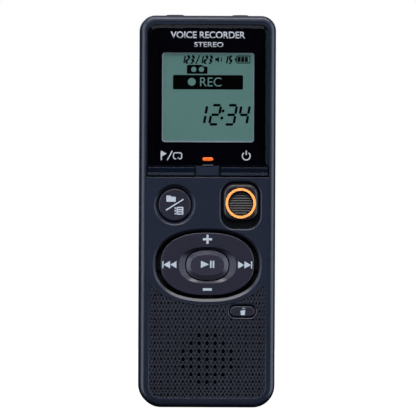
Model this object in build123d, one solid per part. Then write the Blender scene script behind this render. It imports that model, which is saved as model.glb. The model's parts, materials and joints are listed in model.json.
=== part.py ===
"""Handheld voice recorder: a two-half plastic case with a display, a keypad, a slide
switch, a speaker, two jacks, a circuit board and two AAA cells under a sliding cover.

Frame, in millimetres: +X to the right of the display, +Z up to the jack end, -Y out of
the display. Depth is counted from the front face towards the back, so that a depth d
is the plane y = FRONT_Y + d. Sketches are drawn as (x, z) and extruded along Y.
"""
import os
from math import copysign, cos, pi, sin, sqrt

from build123d import *

os.makedirs("parts", exist_ok=True)

# ---- case ----
WIDTH = 37.4
HEIGHT = 108.0
DEPTH = 16.8
KNOB_PROUD = 0.6
FRONT_Y = (KNOB_PROUD - DEPTH) / 2
CORNER_TOP = 4.1
CORNER_BOTTOM = 6.1
FRONT_ROUND = 1.6
BACK_ROUND = 2.4
WALL = 1.5
FRONT_PLATE = 1.4
PARTING = 7.2
BACK_WALL = 1.5
RIM_LINE = 1.7
RIM_LINE_WIDE = 0.22
RIM_LINE_DEEP = 0.12
HOLE_GAP = 0.3

# ---- display ----
WINDOW_HALF = 16.7
WINDOW_GAP = 0.22
WINDOW_FACET = (0.9, 0.25)
WINDOW_BOTTOM = 66.65
WINDOW_TOP = 105.4
WINDOW_DEPTH = 1.0
WINDOW_SINK = 0.05
MASK = 0.1
SHELF_BACK = 1.9
VIEW_HALF = 12.7
VIEW_BOTTOM = 73.1
VIEW_TOP = 97.8
LCD_HALF = 14.6
LCD_BOTTOM = 70.9
LCD_TOP = 99.9
LCD_LEDGE = 2.3
GLASS = 0.5
FILM = 0.15
LAMP_Z = 68.4
LAMP_LONG = 3.0
LAMP_HIGH = 1.0

# ---- keys ----
FLANGE = 0.4
FLANGE_FRONT = FRONT_PLATE + 0.05
FLANGE_BACK = FLANGE_FRONT + 0.4
BOSS_BACK = 2.95
BAR_LOW = 63.9
BAR_HIGH = 66.25
BAR_GAP = 0.35
BAR_GAP_LOW = 0.45
TRENCH_DEEP = 0.7
TRENCH_EDGE = 0.15
BRIDGE = (-3.0, 2.8)
BRIDGE_FRONT = 0.12
NOTCH = [(-1.0, 66.6), (0.1, 66.6), (0.5, 67.25), (-1.0, 67.25)]
NOTCH_HALF = 1.4
BAR_PROFILE = [
    (0.0, 0.0), (0.0, 0.12), (0.3, 0.85), (0.12, 2.05), (0.25, 2.36), (0.25, 4.0), (-1.0, 4.0), (-1.0, 0.0),
]
INDEX_BAR = (-16.6, -3.7)
POWER_BAR = (3.5, 16.5)
MENU_AT = (-9.1, 55.8)
MENU_R = 4.4
MENU_GAP = 0.4
MENU_ROUND = 0.25
MENU_CONE_R = 5.7
MENU_CONE_DEEP = 0.8
ERASE_AT = (9.7, 26.5)
ERASE_HALF = (3.4, 1.44)
ERASE_RIM = 0.75
ERASE_ROUND = 0.42
PAD_Z = 39.2
PAD_RING = (12.85, 8.65)
PAD_RING_Z = 39.5
PAD_RING_FRONT = 0.1
PAD_RING_ROUND = 0.22
PAD_BOWL = (14.9, 10.1)
PAD_HOLE = (14.3, 9.4)
PAD_HOLE_Z = 39.35
PAD_BOWL_DEEP = 0.6
PAD_BOWL_ROUND = 0.2
PAD_TAB_HALF = 1.5
PAD_DISH = (7.9, 5.05)
PAD_DISH_DEEP = 0.7
PLAY_KEY = (5.8, 4.1)
PLAY_FLAT = (4.65, 2.8)
PLAY_GAP = 0.35
PAD_SIDE = 10.3
PAD_UP = 6.9
OVAL_POWER = 2.35

# ---- record slide ----
SLIDE_X = 9.1
KNOB_HALF = (4.85, 5.18)
KNOB_Z = 56.48
SLIDE_TRAVEL = 1.9
POCKET_LOW = 49.3
POCKET_HIGH = 62.1
POCKET_HALF = 5.35
POCKET_ROUND = 0.6
POCKET_FLOOR = 2.0
RING_R = (3.48, 4.18)
GRIP_FLOOR = 0.0
GRIP_PITCH = 0.685
GRIP_TOOTH = [(0.1, -0.14), (-0.22, -0.1), (-0.07, 0.15), (0.1, 0.18)]
KNOB_ROUND = 1.1

# ---- loudspeaker and grille ----
SPEAKER_Z = 13.2
SPEAKER_R = 10.0
GRILLE_HALF = 16.1
GRILLE_LOW = 2.5
GRILLE_ARC = (17.9, 11.0)
GRILLE_SINK = 0.7
GRILLE_HOLE_R = 0.42
HOLE_ROWS = {-3: 1, -2: 2, -1: 3, 0: 3, 1: 3, 2: 2, 3: 1}

# ---- board, jacks, cells ----
BOARD_FRONT = 3.6
BOARD_BACK = 4.4
BOARD_LOW = 23.6
BOARD_HIGH = 104.3
BOARD_HALF = 16.6
DOME_FRONT = 3.4
JACK_X = 9.05
JACK_BORE_R = 1.8
JACK_BORE = 14.0
JACK_TOP = HEIGHT + 0.3
JACK_D = 7.15
COLLAR_R = {-1: 2.4, 1: 2.15}
USB_Z = 88.0
CELL_R = 5.25
CELL_LONG = 44.5
CELL_X = 5.35
CELL_D = 10.35
TRAY_HALF = 10.9
TRAY_LOW = 27.6
TRAY_HIGH = 78.4
TRAY_FLOOR = 4.5
CONTACT = 0.3
SPRING_LONG = 5.5
COVER_HALF = 12.4
COVER_TOP = 82.0
COVER_D = DEPTH - BACK_WALL
TONGUE = 0.8
LEDGE = 1.0
SCREWS = [(14.9, 12.0), (-14.9, 12.0), (14.7, 103.0), (-14.7, 103.0)]
SCREW_HEAD_R = 1.5
SCREW_R = 0.8
SCREW_BOSS_R = 2.0
SCREW_SEAT = 14.6
SCREW_TIP = 3.6


# ---- helpers ----
def lay(sketch, depth):
    """The (x, z) sketch standing in the plane at that depth, facing the front."""
    return Pos(0, FRONT_Y + depth, 0) * Rot(90, 0, 0) * sketch


def plate(sketch, front, back):
    """The (x, z) sketch as a slab between two depths."""
    return lay(extrude(sketch, back - front), back)


def flare(front_sketch, front, back_sketch, back):
    """A straight-sided transition between two outlines at two depths."""
    return loft([lay(front_sketch, front).face(), lay(back_sketch, back).face()])


def box_sketch(x0, x1, z0, z1, radius=0.0):
    """A rectangle between two corners, with rounded corners if asked."""
    shape = Rectangle(x1 - x0, z1 - z0)
    if radius:
        shape = RectangleRounded(x1 - x0, z1 - z0, radius)
    return Pos((x0 + x1) / 2, (z0 + z1) / 2) * shape


def block(x0, x1, z0, z1, front, back):
    return plate(box_sketch(x0, x1, z0, z1), front, back)


def post(x, z, radius, front, back):
    return plate(Pos(x, z) * Circle(radius), front, back)


def beam(x0, x1, section):
    """A prism along X, its section given as (depth, z) corners."""
    corners = [(FRONT_Y + depth, z) for depth, z in section]
    face = Plane.YZ * Polygon(*corners, align=None)
    return Pos(x0, 0, 0) * extrude(face, x1 - x0, dir=(1, 0, 0))


def tube(x, z, outer, inner, front, back):
    return post(x, z, outer, front, back) - post(x, z, inner, front, back)


def pill(x, z, half_long, half_high):
    return Pos(x, z) * SlotOverall(2 * half_long, 2 * half_high)


def oval(half, grow=0.0, z=PAD_Z):
    """The control pad's slightly squared oval."""
    a = half[0] + grow
    b = half[1] + grow
    turns = [2 * pi * i / 32 for i in range(32)]
    bend = 2 / OVAL_POWER
    points = [
        (copysign(a * abs(cos(t)) ** bend, cos(t)), copysign(b * abs(sin(t)) ** bend, sin(t)))
        for t in turns
    ]
    return Pos(0, z) * make_face(Spline(points, periodic=True))


def outline(inset=0.0):
    """The case's outline seen from the front, with tighter corners at the top."""
    face = Rectangle(WIDTH - 2 * inset, HEIGHT - 2 * inset)
    rows = face.vertices().group_by(Axis.Y)
    face = fillet(rows[-1], CORNER_TOP - inset)
    rows = face.vertices().group_by(Axis.Y)
    face = fillet(rows[0], CORNER_BOTTOM - inset)
    return Pos(0, HEIGHT / 2) * face


def front_edges(part):
    return part.edges().group_by(Axis.Y)[0]


def back_edges(part):
    return part.edges().group_by(Axis.Y)[-1]


def round_front(part, radius):
    return fillet(front_edges(part), radius)


def full_body():
    body = plate(outline(), 0, DEPTH)
    body = round_front(body, FRONT_ROUND)
    return fillet(back_edges(body), BACK_ROUND)


def save(node, part):
    part.label = node
    export_step(part, f"parts/{node}.step")


BODY = full_body()


def jack_hole(side, gap=0.1):
    """The round way out of the top end for one jack's collar."""
    reach = HEIGHT - JACK_D
    rod = Cylinder(COLLAR_R[side] + gap, reach, align=(Align.CENTER, Align.CENTER, Align.MIN))
    return Pos(side * JACK_X, FRONT_Y + JACK_D, HEIGHT - 2 * WALL) * rod


# ---- front case ----
def grille_zone():
    zone = box_sketch(-GRILLE_HALF, GRILLE_HALF, GRILLE_LOW, PAD_Z)
    zone = fillet(zone.vertices().group_by(Axis.Y)[0], 3.0)
    zone -= Pos(0, PAD_Z) * Ellipse(*GRILLE_ARC)
    return zone - pill(*ERASE_AT, ERASE_HALF[0] + ERASE_RIM, ERASE_HALF[1] + ERASE_RIM)


def hole_places():
    """The sound holes: rows of a lattice that closes up a little towards its rim."""
    places = []
    for row, reach in HOLE_ROWS.items():
        z = SPEAKER_Z + (2.2 * row if row > 0 else 15.3 * sin(0.14 * row))
        places += [(22.6 * sin(0.099 * i), z) for i in range(-reach, reach + 1)]
    return places


def screw_boss(x, z, front, back, hole):
    return post(x, z, SCREW_BOSS_R, front, back) - post(x, z, hole, front, back)


def bar_slot(bar):
    return box_sketch(bar[0] - BAR_GAP, bar[1] + BAR_GAP, BAR_LOW - BAR_GAP_LOW, BAR_HIGH + BAR_GAP, 0.5)


def front_case():
    shell = BODY - plate(Rectangle(99, 2 * HEIGHT + 99), PARTING, DEPTH + 1)
    shell -= plate(outline(WALL), FRONT_PLATE, PARTING)
    inner = WIDTH / 2 - WALL
    shell += block(-inner, inner, WINDOW_BOTTOM - HOLE_GAP, WINDOW_TOP + 1.1, FRONT_PLATE - 0.3, SHELF_BACK)
    shell += plate(
        box_sketch(SLIDE_X - 6.6, SLIDE_X + 6.6, POCKET_LOW - 0.9, POCKET_HIGH + 0.9, 3.5),
        FRONT_PLATE - 0.2,
        POCKET_FLOOR,
    )
    for x, z in SCREWS:
        shell += screw_boss(x, z, FRONT_PLATE, PARTING, SCREW_R)
        shell -= post(x, z, SCREW_R, SHELF_BACK + 0.1, PARTING)
    shell += tube(0, SPEAKER_Z, SPEAKER_R + 0.9, SPEAKER_R + 0.1, FRONT_PLATE, FRONT_PLATE + 2.1)
    shell -= window_pocket()
    shell -= plate(
        box_sketch(-VIEW_HALF - 0.7, VIEW_HALF + 0.7, VIEW_BOTTOM - 0.7, VIEW_TOP + 0.7, 0.8), 0, 2.1
    )
    shell -= plate(lamp_hole(), 0, 2.1)
    shell -= bar_trench()
    for bar in (INDEX_BAR, POWER_BAR):
        shell -= plate(bar_slot(bar), -1, 2.1)
    shell -= flare(oval(PAD_BOWL), 0, oval(PAD_HOLE, z=PAD_HOLE_Z), PAD_BOWL_DEEP)
    shell -= plate(oval(PAD_HOLE, z=PAD_HOLE_Z), 0, FRONT_PLATE + 0.1)
    shell = round_mouth(shell, 0, PAD_Z, PAD_BOWL[0] + 0.5, PAD_BOWL_ROUND)
    shell -= menu_hole()
    shell -= slide_pocket()
    shell = round_mouth(shell, SLIDE_X, KNOB_Z, POCKET_HALF + 0.5, POCKET_ROUND)
    shell -= plate(pill(*ERASE_AT, ERASE_HALF[0] + HOLE_GAP, ERASE_HALF[1] + HOLE_GAP), -1, 2.1)
    shell = round_mouth(shell, *ERASE_AT, ERASE_HALF[0] + 0.5, ERASE_ROUND)
    shell -= rim_line()
    shell -= plate(grille_zone(), -1, GRILLE_SINK)
    holes = [Pos(x, z) * Circle(GRILLE_HOLE_R) for x, z in hole_places()]
    shell -= plate(Sketch() + holes, 0, FRONT_PLATE + 0.1)
    for side in (-1, 1):
        shell -= jack_hole(side)
    shell -= block(-WIDTH, -inner + 0.1, USB_Z - 3.95, USB_Z + 3.95, BOARD_BACK - 0.1, PARTING)
    return shell


def round_mouth(shell, x, z, reach, radius):
    """Rounds the edge where an opening meets the front face, given its centre and half width."""
    mouth = [
        edge
        for edge in front_edges(shell)
        if abs(edge.center().X - x) < reach and abs(edge.center().Z - z) < reach
    ]
    return fillet(mouth, radius)


def rim_line():
    """The fine groove between the rounded rim and the flat front."""
    ring = outline(RIM_LINE - RIM_LINE_WIDE / 2) - outline(RIM_LINE + RIM_LINE_WIDE / 2)
    return plate(ring, -1, RIM_LINE_DEEP)


def bar_trench():
    """The shallow trench that the two bar keys and the bridge between them stand in."""
    left = INDEX_BAR[0] - BAR_GAP
    right = POWER_BAR[1] + BAR_GAP
    low = BAR_LOW - BAR_GAP_LOW
    trench = box_sketch(left, right, low, BAR_HIGH + BAR_GAP, 0.4)
    bridge = box_sketch(*BRIDGE, BAR_LOW + 0.05, BAR_HIGH + 0.08, 0.2)
    slope = [(-1, low + 0.01), (TRENCH_EDGE, low + 0.01), (0, low - TRENCH_EDGE), (-1, low - TRENCH_EDGE)]
    edge = beam(left, right, slope)
    return plate(trench, -1, TRENCH_DEEP) - plate(bridge, BRIDGE_FRONT, TRENCH_DEEP) + edge


def window_pocket():
    gap = WINDOW_GAP
    pocket = box_sketch(-WINDOW_HALF - gap, WINDOW_HALF + gap, WINDOW_BOTTOM - 0.05, WINDOW_TOP + gap)
    pocket = fillet(pocket.vertices().group_by(Axis.Y)[-1], 2.5 + gap)
    return plate(pocket, -1, WINDOW_SINK + WINDOW_DEPTH + MASK)


def menu_hole():
    x, z = MENU_AT
    clear = MENU_R + MENU_GAP
    cone = flare(Pos(x, z) * Circle(MENU_CONE_R), 0, Pos(x, z) * Circle(clear), MENU_CONE_DEEP)
    return cone + post(x, z, clear, 0, FRONT_PLATE + 0.1)


def slide_pocket():
    """The record slide's recess: a straight wall and a slotted floor."""
    well = box_sketch(SLIDE_X - POCKET_HALF, SLIDE_X + POCKET_HALF, POCKET_LOW, POCKET_HIGH, 3.6)
    pocket = plate(well, -1, FRONT_PLATE)
    slot = box_sketch(SLIDE_X - 1.15, SLIDE_X + 1.15, KNOB_Z - 2.15 - SLIDE_TRAVEL, KNOB_Z + 2.15)
    return pocket + plate(slot, 0, POCKET_FLOOR + 0.1)


# ---- display ----
def window_outline(inset=0.0):
    shape = box_sketch(
        inset - WINDOW_HALF, WINDOW_HALF - inset, WINDOW_BOTTOM + inset, WINDOW_TOP - inset
    )
    return fillet(shape.vertices().group_by(Axis.Y)[-1], 2.5 - inset)


def lamp_hole():
    return pill(0, LAMP_Z, LAMP_LONG / 2 + 0.05, LAMP_HIGH / 2 + 0.05)


def display_window():
    """The front sheet, with a wide sloping facet round its rim and a notch under the lamp."""
    wide, deep = WINDOW_FACET
    edge = WINDOW_SINK + deep
    window = plate(window_outline(), edge, WINDOW_SINK + WINDOW_DEPTH)
    window += flare(window_outline(wide), WINDOW_SINK, window_outline(), edge)
    return window - plate(lamp_hole(), 0, FRONT_PLATE) - beam(-NOTCH_HALF, NOTCH_HALF, NOTCH)


def window_mask():
    view = box_sketch(-VIEW_HALF, VIEW_HALF, VIEW_BOTTOM, VIEW_TOP, 0.8)
    front = WINDOW_SINK + WINDOW_DEPTH
    return plate(window_outline(0.1) - view - lamp_hole(), front, front + MASK)


LCD_FRONT = SHELF_BACK + 0.05


def lcd_layer(front, thick, low=LCD_BOTTOM, inset=0.0):
    shape = box_sketch(inset - LCD_HALF, LCD_HALF - inset, low + inset, LCD_TOP - inset)
    return plate(shape, front, front + thick)


def lcd_parts():
    glass_front = LCD_FRONT + FILM
    rear_front = glass_front + GLASS
    reflector_front = rear_front + GLASS
    step = LCD_BOTTOM + LCD_LEDGE
    strip = block(-13.0, 13.0, LCD_BOTTOM + 0.3, step - 0.4, rear_front, BOARD_FRONT)
    frame = box_sketch(-15.9, 15.9, LCD_BOTTOM - 1.2, LCD_TOP + 1.0, 0.5)
    frame -= box_sketch(-LCD_HALF - 0.1, LCD_HALF + 0.1, LCD_BOTTOM - 0.1, LCD_TOP + 0.1)
    return {
        "lcd_front_polarizer": lcd_layer(LCD_FRONT, FILM, inset=0.4),
        "lcd_front_glass": lcd_layer(glass_front, GLASS),
        "lcd_rear_glass": lcd_layer(rear_front, GLASS, low=step),
        "lcd_reflector": lcd_layer(reflector_front, FILM, low=step, inset=0.2),
        "lcd_contact_strip": strip,
        "lcd_frame": plate(frame, LCD_FRONT, BOARD_FRONT - 0.05),
    }


def record_lamp():
    guide = plate(pill(0, LAMP_Z, LAMP_LONG / 2, LAMP_HIGH / 2), 0, 3.0)
    return round_front(guide, 0.2)


# ---- keys ----
def bar_key(bar):
    """A shallow bar, hollowed along its length: a lip below, a slope above, a chamfer on top."""
    cap = plate(box_sketch(bar[0], bar[1], BAR_LOW, BAR_HIGH, 0.35), 0, FLANGE_BACK)
    cap -= beam(bar[0] - 1, bar[1] + 1, [(depth, BAR_LOW + rise) for depth, rise in BAR_PROFILE])
    foot = block(bar[0] + 0.2, bar[1] - 0.2, BAR_LOW - 0.9, BAR_LOW + 1.0, FLANGE_FRONT, FLANGE_BACK)
    return cap + foot


def menu_key():
    cap = round_front(post(*MENU_AT, MENU_R, 0.0, FLANGE_BACK), MENU_ROUND)
    return cap + post(*MENU_AT, MENU_R + MENU_GAP + FLANGE, FLANGE_FRONT, FLANGE_BACK)


def erase_key():
    cap = round_front(plate(pill(*ERASE_AT, *ERASE_HALF), 0.05, FLANGE_BACK), 0.3)
    grow = HOLE_GAP + FLANGE
    foot = pill(*ERASE_AT, ERASE_HALF[0] + grow, ERASE_HALF[1] + grow)
    return cap + plate(foot, FLANGE_FRONT, FLANGE_BACK)


def play_key():
    """The oval centre key: a flat top in a sloping border, on a stem through the rocker plate."""
    cap = flare(oval(PLAY_FLAT), 0.25, oval(PLAY_KEY), 0.75) + plate(oval(PLAY_KEY), 0.75, 1.05)
    stem = block(-1.3, 1.3, PAD_Z - 1.7, PAD_Z + 1.7, 1.05, 2.35)
    foot = block(-2.6, 2.6, PAD_Z - 2.6, PAD_Z + 2.6, 2.15, 2.35)
    return cap + stem + foot


def key_boss(x, z, radius, front=FLANGE_BACK):
    boss = post(x, z, radius, front, BOSS_BACK)
    return chamfer(back_edges(boss), 0.15)


# ---- control pad ----
RING_BACK = 1.5
ROCKER = (1.6, 1.9)


def pad_ring():
    ring = round_front(plate(oval(PAD_RING, z=PAD_RING_Z), PAD_RING_FRONT, RING_BACK), PAD_RING_ROUND)
    ring -= flare(oval(PAD_DISH), PAD_RING_FRONT, oval(PLAY_KEY, PLAY_GAP), PAD_DISH_DEEP)
    ring -= plate(oval(PLAY_KEY, PLAY_GAP), 0, RING_BACK + 0.1)
    ring += pad_tab(8.2, 8.85, 10.0, upright=True)
    ring += pad_tab(-8.1, -8.7, -10.0, upright=True)
    ring += pad_tab(12.2, 12.75, 14.65, upright=False)
    return ring + pad_tab(-12.2, -12.75, -14.65, upright=False)


def pad_tab(root, edge, tip, upright):
    """One retaining lip, hooked under the front plate at the pad's rim."""
    parts = None
    for reach, front in ((edge, RING_BACK), (tip, 1.85)):
        low, high = sorted((root, reach))
        if upright:
            piece = block(-PAD_TAB_HALF, PAD_TAB_HALF, PAD_Z + low, PAD_Z + high, front, 2.05)
        else:
            piece = block(low, high, PAD_Z - PAD_TAB_HALF, PAD_Z + PAD_TAB_HALF, front, 2.05)
        parts = piece if parts is None else parts + piece
    return parts


def rocker_plate():
    strip = box_sketch(-2.4, 2.4, PAD_Z - 8.0, PAD_Z + 8.0, 0.8)
    strip -= box_sketch(-1.5, 1.5, PAD_Z - 1.9, PAD_Z + 1.9)
    for side in (-1, 1):
        strip -= Pos(0, PAD_Z + side * PAD_UP) * Circle(1.05)
    strip -= Pos(0, PAD_Z + 4.4) * Circle(0.6) + Pos(0, PAD_Z - 4.4) * Circle(0.6)
    return plate(strip, *ROCKER)


def pad_bosses():
    places = [(0, PAD_UP), (0, -PAD_UP), (PAD_SIDE, 0), (-PAD_SIDE, 0)]
    return Part() + [key_boss(x, PAD_Z + z, 0.9, RING_BACK) for x, z in places]


# ---- record slide ----
def slide_knob():
    body = Pos(SLIDE_X, KNOB_Z) * RectangleRounded(2 * KNOB_HALF[0], 2 * KNOB_HALF[1], 3.1)
    knob = round_front(plate(body, -KNOB_PROUD, 1.25), KNOB_ROUND)
    knob -= tube(SLIDE_X, KNOB_Z - 0.15, RING_R[1], RING_R[0], -1, 0.1)
    knob -= post(SLIDE_X, KNOB_Z - 0.15, RING_R[0] - 0.15, -1, GRIP_FLOOR)
    for i in range(-4, 5):
        z = KNOB_Z - 0.15 + GRIP_PITCH * i
        reach = sqrt((RING_R[0] - 0.3) ** 2 - (GRIP_PITCH * i) ** 2)
        tooth = [(GRIP_FLOOR + depth, z + rise) for depth, rise in GRIP_TOOTH]
        knob += beam(SLIDE_X - reach, SLIDE_X + reach, tooth)
    return knob + block(SLIDE_X - 1.0, SLIDE_X + 1.0, KNOB_Z - 2.0, KNOB_Z + 2.0, 1.25, 2.1)


def slide_parts():
    ring = tube(SLIDE_X, KNOB_Z - 0.15, RING_R[1], RING_R[0], -KNOB_PROUD + 0.02, 0.1)
    clip = block(SLIDE_X - 3.0, SLIDE_X + 3.0, KNOB_Z - 3.4, KNOB_Z + 3.4, 2.1, 2.5)
    lever = block(SLIDE_X - 0.6, SLIDE_X + 0.6, KNOB_Z - 0.75, KNOB_Z + 0.75, 2.1, 3.2)
    body = block(SLIDE_X - 3.6, SLIDE_X + 3.6, KNOB_Z - 5.3, KNOB_Z + 3.4, 2.75, BOARD_FRONT)
    body -= block(
        SLIDE_X - 0.7, SLIDE_X + 0.7, KNOB_Z - 0.9 - SLIDE_TRAVEL, KNOB_Z + 0.9, 2.7, 3.3
    )
    return {
        "rec_slider_ring": ring,
        "rec_slider_clip": clip - lever,
        "slide_switch_lever": lever,
        "slide_switch_body": body,
    }


# ---- keypad sheet and switches ----
WEB_OUTER = (15.1, 10.8)
WEB_DEPTHS = (2.6, 2.85)
WEB_FOOT_HALF = 3.2
WEB_BOSS_R = 1.35
KEY_PLACES = {
    "index": ((INDEX_BAR[0] + INDEX_BAR[1]) / 2, 65.2, 1.1),
    "power": ((POWER_BAR[0] + POWER_BAR[1]) / 2, 65.2, 1.1),
    "menu": (*MENU_AT, 1.6),
    "erase": (*ERASE_AT, 1.1),
}


def keypad_sheet():
    """The rubber sheet behind the keys, on short legs, with a sunken web behind the pad's rim."""
    sheet = box_sketch(-16.4, 16.4, BOARD_LOW + 0.6, WINDOW_BOTTOM + 0.4, 1.0)
    sheet -= box_sketch(SLIDE_X - 7.0, 17.0, POCKET_LOW - 1.4, POCKET_HIGH + 1.3)
    sheet -= oval(WEB_OUTER, -0.1)
    sheet -= box_sketch(-17.0, 17.0, BOARD_LOW, 24.4) & box_sketch(-3.0, 3.0, BOARD_LOW, 24.4)
    for x, z, radius in KEY_PLACES.values():
        sheet -= Pos(x, z) * Circle(radius + 0.35)
    legs = [(-15.4, 60.5), (-2.6, 60.5), (-15.4, 50.8), (15.4, 28.0), (-15.4, 28.0), (0, 26.0)]
    sheet_part = plate(sheet, 2.3, 2.7)
    web = oval(WEB_OUTER)
    web -= box_sketch(-WEB_FOOT_HALF, WEB_FOOT_HALF, PAD_Z - WEB_FOOT_HALF, PAD_Z + WEB_FOOT_HALF)
    for x, z in ((0, PAD_UP), (0, -PAD_UP), (PAD_SIDE, 0), (-PAD_SIDE, 0)):
        web -= Pos(x, PAD_Z + z) * Circle(WEB_BOSS_R)
    sheet_part += plate(web, *WEB_DEPTHS)
    for x, z in legs:
        sheet_part += post(x, z, 0.7, 2.7, BOARD_FRONT)
    return sheet_part


def dome_switches():
    places = [(x, z) for x, z, _ in KEY_PLACES.values()]
    places += [(0, PAD_Z), (0, PAD_Z + PAD_UP), (0, PAD_Z - PAD_UP)]
    places += [(PAD_SIDE, PAD_Z), (-PAD_SIDE, PAD_Z)]
    domes = []
    for x, z in places:
        dome = flare(
            Pos(x, z) * Circle(0.9), DOME_FRONT, Pos(x, z) * Circle(1.9), BOARD_FRONT
        )
        domes.append(dome)
    return Part() + domes


# ---- board ----
def main_board():
    board = box_sketch(-BOARD_HALF, BOARD_HALF, BOARD_LOW, BOARD_HIGH, 1.0)
    for x, z in SCREWS:
        board -= Pos(x, z) * Circle(SCREW_BOSS_R + 0.3)
    board -= box_sketch(-6.0, 6.0, BOARD_HIGH - 2.2, BOARD_HIGH + 1)
    return plate(board, BOARD_FRONT, BOARD_BACK)


def board_parts():
    chip = block(-0.5, 7.5, 83.0, 91.0, BOARD_BACK, BOARD_BACK + 1.0)
    memory = block(-10.0, -2.5, 82.6, 91.6, BOARD_BACK, BOARD_BACK + 1.1)
    can = plate(Pos(12.5, 84.0) * SlotOverall(5.0, 2.2), BOARD_BACK, BOARD_BACK + 1.2)
    capacitors = Part()
    for i in range(4):
        z = 87.0 + 1.6 * i
        capacitors += block(10.2, 12.2, z, z + 1.0, BOARD_BACK, BOARD_BACK + 0.8)
        capacitors += block(13.4, 15.4, z, z + 1.0, BOARD_BACK, BOARD_BACK + 0.8)
    led = block(-0.8, 0.8, LAMP_Z - 0.4, LAMP_Z + 0.4, 3.05, BOARD_FRONT)
    return {
        "audio_processor": chip,
        "flash_memory": memory,
        "crystal_can": can,
        "board_capacitors": capacitors,
        "record_led": led,
    }


def jack(side):
    x = side * JACK_X
    shell = block(x - 3.0, x + 3.0, 93.0, HEIGHT - WALL - 0.1, BOARD_BACK, 2 * JACK_D - BOARD_BACK)
    bottom = (Align.CENTER, Align.CENTER, Align.MIN)
    collar = Cylinder(COLLAR_R[side], JACK_TOP - HEIGHT + WALL + 0.1, align=bottom)
    shell += Pos(x, FRONT_Y + JACK_D, HEIGHT - WALL - 0.1) * collar
    mouth = shell.edges().group_by(Axis.Z)[-1]
    shell = fillet(mouth, 0.12)
    bore = Cylinder(JACK_BORE_R, JACK_BORE + 1, align=bottom)
    return shell - Pos(x, FRONT_Y + JACK_D, JACK_TOP - JACK_BORE) * bore


def jack_contacts():
    pins = Part()
    for side in (-1, 1):
        for z in (95.0, 98.6, 102.2):
            for hand in (-1, 1):
                x = side * JACK_X + hand * 3.0
                low, high = sorted((x, x + hand * 0.25))
                pins += block(low, high, z, z + 1.1, BOARD_BACK, 7.6)
                low, high = sorted((x, x + hand * 0.5))
                pins += block(low, high, z, z + 1.1, BOARD_BACK, BOARD_BACK + 0.2)
    return pins


def usb_parts():
    """A side-facing socket: a folded metal shell round a plastic tongue."""
    inner_x = -WIDTH / 2 + 5.3
    shell = block(-WIDTH / 2 + 0.3, inner_x, USB_Z - 3.75, USB_Z + 3.75, BOARD_BACK, 7.1)
    shell -= block(-WIDTH / 2, inner_x - 0.3, USB_Z - 3.45, USB_Z + 3.45, BOARD_BACK + 0.3, 6.8)
    tongue = block(-WIDTH / 2 + 1.3, inner_x - 0.3, USB_Z - 2.0, USB_Z + 2.0, 5.5, 6.1)
    return {"usb_socket": shell, "usb_tongue": tongue}


MIC_D = 9.9


def microphone_parts():
    top = HEIGHT - WALL
    bottom = (Align.CENTER, Align.CENTER, Align.MIN)
    place = Pos(0, FRONT_Y + MIC_D, 0)
    capsule = place * Pos(0, 0, top - 2.4) * Cylinder(2.0, 1.9, align=bottom)
    boot = place * Pos(0, 0, top - 3.0) * Cylinder(2.6, 3.0, align=bottom)
    boot -= capsule
    boot -= place * Pos(0, 0, top - 0.5) * Cylinder(0.9, 0.5, align=bottom)
    return {"microphone": capsule, "microphone_boot": boot}


# ---- loudspeaker ----
GASKET_BACK = 2.0
BASKET_BACK = 4.2


def speaker_parts():
    gasket = tube(0, SPEAKER_Z, SPEAKER_R, 8.6, FRONT_PLATE, GASKET_BACK)
    basket = post(0, SPEAKER_Z, SPEAKER_R, GASKET_BACK, BASKET_BACK)
    basket -= post(0, SPEAKER_Z, 8.8, GASKET_BACK, BASKET_BACK - 0.6)
    basket -= post(0, SPEAKER_Z, 4.0, GASKET_BACK, BASKET_BACK)
    for i in range(6):
        angle = pi * i / 3
        basket -= post(6.4 * cos(angle), SPEAKER_Z + 6.4 * sin(angle), 1.5, 3.0, BASKET_BACK)
    cone = flare(
        Pos(0, SPEAKER_Z) * Circle(8.7), 2.3, Pos(0, SPEAKER_Z) * Circle(3.9), 3.1
    )
    cone -= flare(Pos(0, SPEAKER_Z) * Circle(8.4), 2.3, Pos(0, SPEAKER_Z) * Circle(3.6), 2.98)
    coil = tube(0, SPEAKER_Z, 3.8, 3.4, 3.1, 4.6)
    magnet = post(0, SPEAKER_Z, 5.6, BASKET_BACK, 6.6)
    magnet -= tube(0, SPEAKER_Z, 3.95, 3.2, BASKET_BACK, 5.6)
    return {
        "speaker_gasket": gasket,
        "speaker_frame": basket,
        "speaker_cone": cone,
        "speaker_voice_coil": coil,
        "speaker_magnet": magnet,
    }


def speaker_lead(x):
    """A short wire from the loudspeaker's rim over the board's lower edge."""
    y0 = FRONT_Y + BASKET_BACK
    low = SPEAKER_Z + 9.0
    high = BOARD_LOW + 0.9
    route = FilletPolyline(
        (x, y0, low), (x, y0 + 1.1, low), (x, y0 + 1.1, high), (x, FRONT_Y + BOARD_BACK, high), radius=0.5
    )
    section = Plane((x, y0, low), z_dir=(0, 1, 0)) * Circle(0.3)
    return sweep(section, path=route)


# ---- rear case ----
def cover_space(gap=0.0):
    """The battery cover's slab with its two side tongues."""
    half = COVER_HALF + gap
    slab = block(-half, half, -1, COVER_TOP + gap, COVER_D - gap, DEPTH + 1)
    tongue_top = COVER_TOP - 2 + gap
    return slab + block(
        -half - TONGUE, half + TONGUE, -1, tongue_top, COVER_D + 0.4 - gap, COVER_D + 0.8 + gap
    )


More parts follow.
